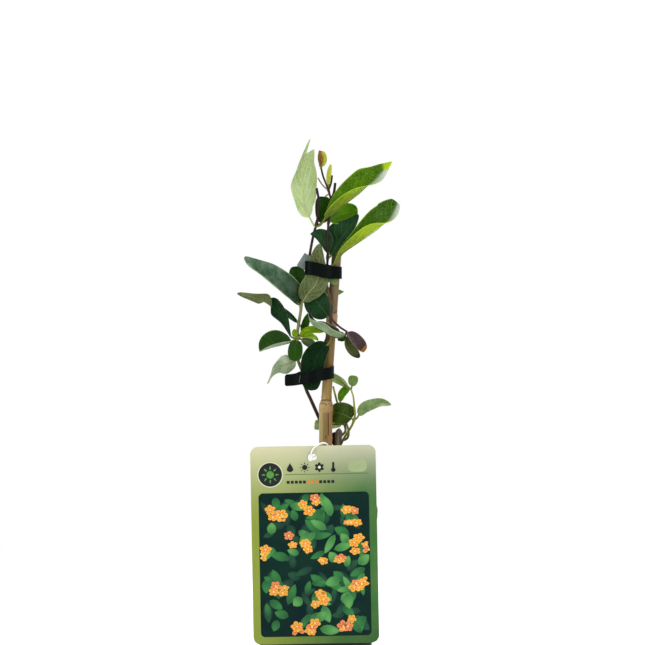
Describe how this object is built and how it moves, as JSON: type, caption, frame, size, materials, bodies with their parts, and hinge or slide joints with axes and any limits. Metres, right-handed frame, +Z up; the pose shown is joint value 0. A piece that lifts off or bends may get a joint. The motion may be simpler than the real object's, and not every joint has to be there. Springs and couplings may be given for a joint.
{
  "type": "potted honeysuckle vine tied to a cane",
  "caption": "Young climbing honeysuckle with leafy twining stems tied to a bamboo cane, in a square nursery pot with a large hang label.",
  "frame": {"origin": "middle of the pot's foot, on the surface it stands on", "axes": "+Z up along the cane; -Y is the front, where the label hangs; +X to the right seen from the front"},
  "size_m": [0.1289, 0.1033, 0.4214],
  "materials": {
    "pot_plastic": "satin",
    "potting_soil": "matte",
    "bamboo": "satin",
    "tie_tape": "satin",
    "label_plastic": "satin",
    "label_cord": "matte",
    "bark": "matte",
    "leaf": "satin",
    "young_leaf": "satin"
  },
  "bodies": {
    "root": {"pot": "pot_plastic", "soil": "potting_soil", "cane": "bamboo", "tie_lower": "tie_tape", "tie_upper": "tie_tape", "label": "label_plastic", "label_loop": "label_cord", "crown": "bark", "shoot_left": "leaf", "shoot_front": "leaf", "shoot_low_right": "young_leaf", "shoot_low_middle": "young_leaf", "shoot_low_back": "young_leaf"}
  },
  "joints": []
}
